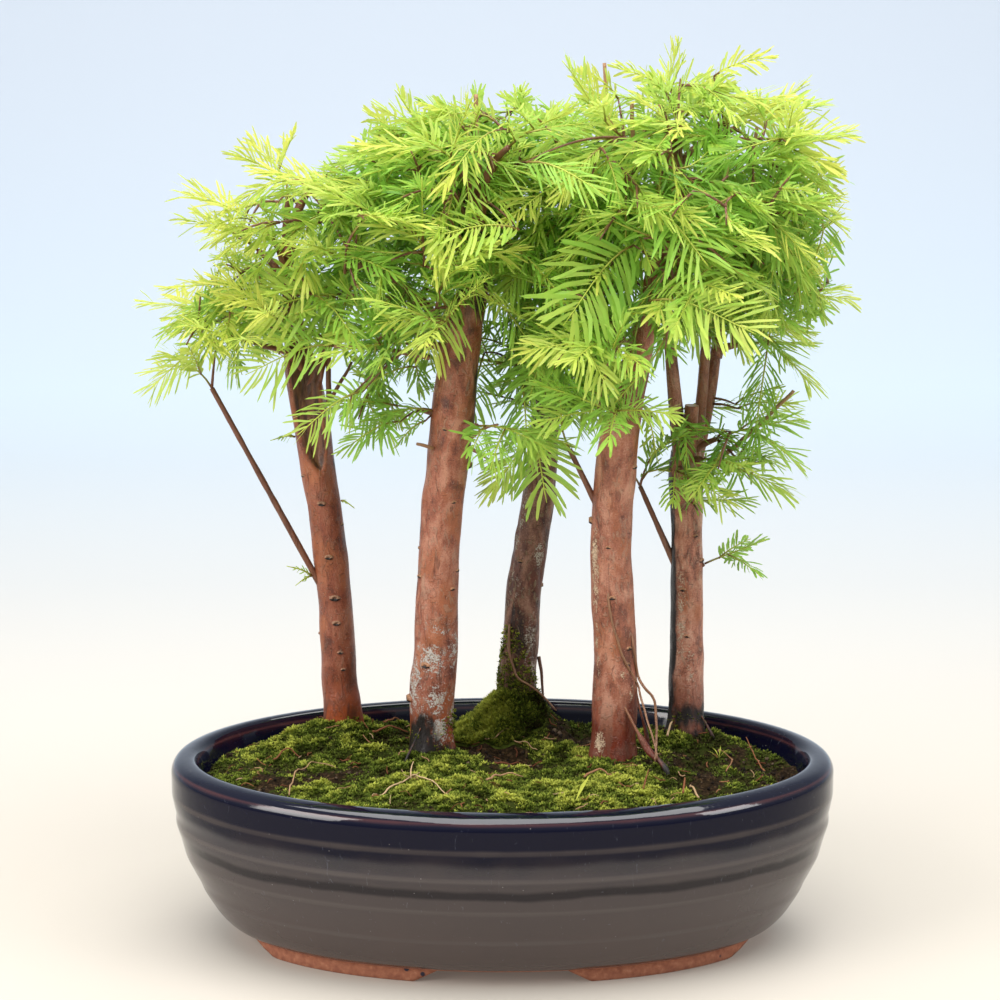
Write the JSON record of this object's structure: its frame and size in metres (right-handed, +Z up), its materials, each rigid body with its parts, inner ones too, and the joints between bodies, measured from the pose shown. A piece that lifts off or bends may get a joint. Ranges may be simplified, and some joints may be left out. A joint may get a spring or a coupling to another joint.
{
  "type": "dawn redwood bonsai forest",
  "caption": "Miniature dawn redwood forest: upright reddish trunks with feathery green fronds over mossy soil in an oval dark glazed tray on low feet.",
  "frame": {"origin": "on the surface that the tray's feet stand on, under the middle of the planting's bounding box, which is 14 mm behind the middle of the tray and 4 mm to its left", "axes": "+X along the tray's length to the right of someone facing its front, -Y towards the front, +Z up"},
  "size_m": [0.3275, 0.2196, 0.4015],
  "materials": {
    "glaze": "gloss",
    "earth": "matte",
    "moss": "matte",
    "bark": "matte",
    "leaf": "satin"
  },
  "bodies": {
    "root": {"moss_mound": "moss", "soil": "earth", "spray_1_01": "leaf", "spray_1_02": "leaf", "spray_1_03": "leaf", "spray_1_04": "leaf", "spray_1_05": "leaf", "spray_1_06": "leaf", "spray_1_07": "leaf", "spray_1_08": "leaf", "spray_1_09": "leaf", "spray_1_10": "leaf", "spray_2_01": "leaf", "spray_2_02": "leaf", "spray_2_03": "leaf", "spray_2_04": "leaf", "spray_2_05": "leaf", "spray_2_06": "leaf", "spray_2_07": "leaf", "spray_2_08": "leaf", "spray_2_09": "leaf", "spray_2_10": "leaf", "spray_2_11": "leaf", "spray_3_01": "leaf", "spray_3_02": "leaf", "spray_3_03": "leaf", "spray_3_04": "leaf", "spray_3_05": "leaf", "spray_3_06": "leaf", "spray_3_07": "leaf", "spray_3_08": "leaf", "spray_3_09": "leaf", "spray_3_10": "leaf", "spray_4_01": "leaf", "spray_4_02": "leaf", "spray_4_03": "leaf", "spray_4_04": "leaf", "spray_4_05": "leaf", "spray_4_06": "leaf", "spray_4_07": "leaf", "spray_4_08": "leaf", "spray_4_09": "leaf", "spray_4_10": "leaf", "spray_4_11": "leaf", "spray_5_01": "leaf", "spray_5_02": "leaf", "spray_5_03": "leaf", "spray_5_04": "leaf", "spray_5_05": "leaf", "spray_5_06": "leaf", "spray_5_07": "leaf", "spray_5_08": "leaf", "spray_5_09": "leaf", "spray_5_10": "leaf", "tray": "glaze", "trunk_1": "bark", "trunk_2": "bark", "trunk_3": "bark", "trunk_4": "bark", "trunk_5": "bark"}
  },
  "joints": []
}
